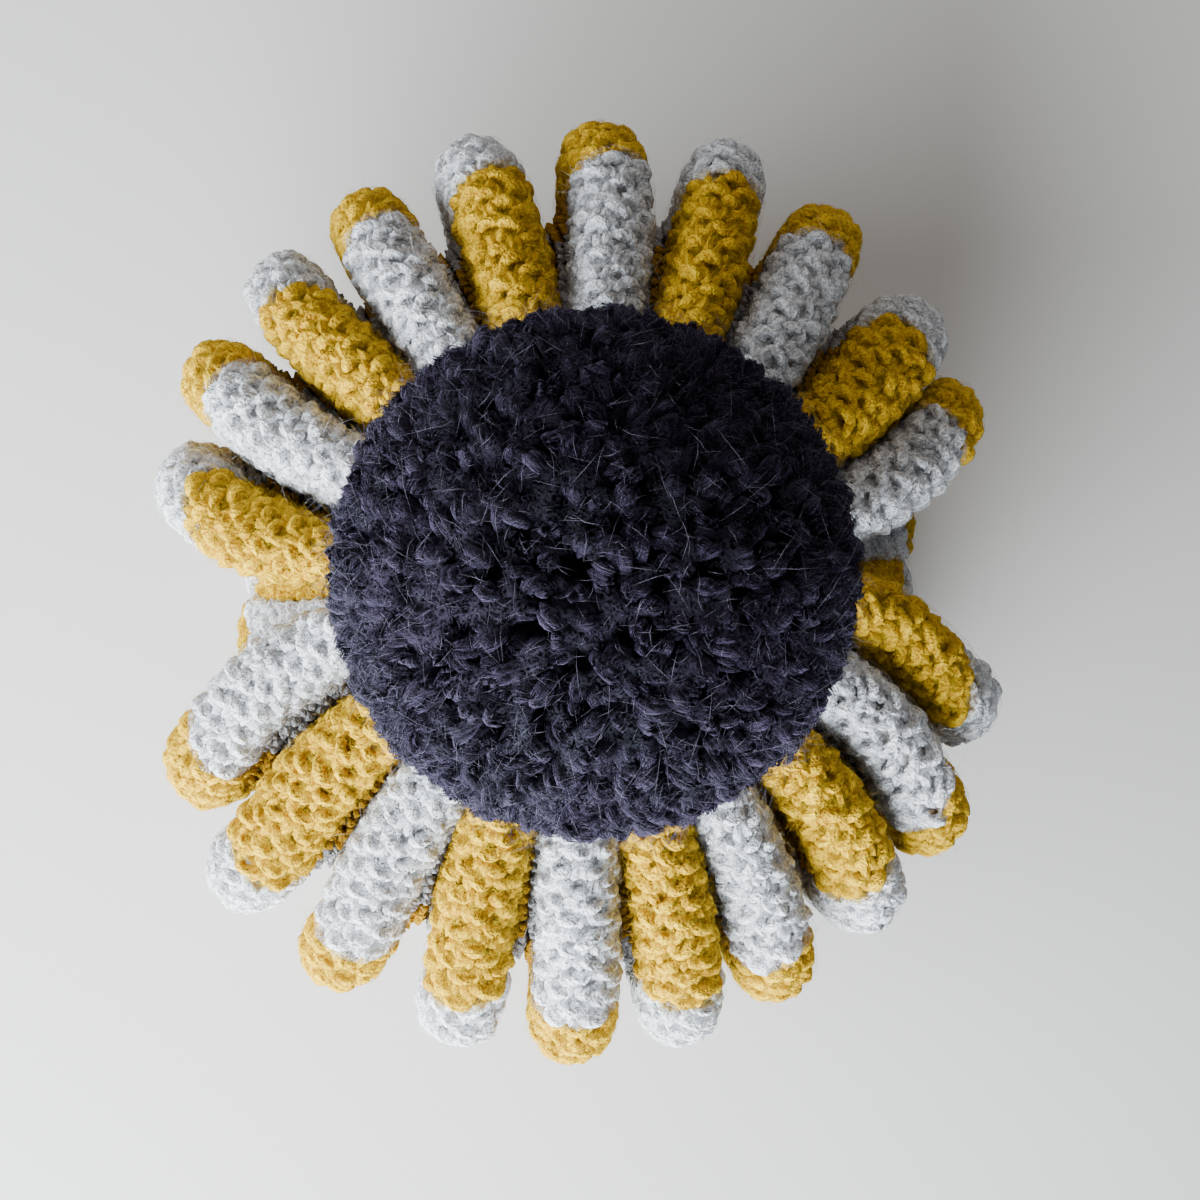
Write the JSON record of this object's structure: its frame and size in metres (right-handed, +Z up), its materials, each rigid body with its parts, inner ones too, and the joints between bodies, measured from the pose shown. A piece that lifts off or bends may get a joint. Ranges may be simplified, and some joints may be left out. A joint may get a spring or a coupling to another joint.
{
  "type": "knitted tea cosy",
  "caption": "Round knitted tea cosy in deep moss stitch pleats, mustard and pale grey by turns, open for the handle and the spout, with a big pompom on its crown.",
  "frame": {"origin": "middle of the outline on the plane of the hem, which is what the cosy stands on", "axes": "+Z up to the pompom, +X towards the opening for the pot's handle, -X towards the opening for its spout, +Y the back"},
  "size_m": [0.2156, 0.2404, 0.2448],
  "materials": {
    "mustard_wool": "matte knitted wool, slightly fuzzy",
    "pale_grey_wool": "matte knitted wool, slightly fuzzy",
    "charcoal_wool": "matte cut wool pile with pale hairs"
  },
  "bodies": {
    "root": {"back_half": "mustard_wool", "front_half": "pale_grey_wool", "pompom": "charcoal_wool"}
  },
  "joints": []
}
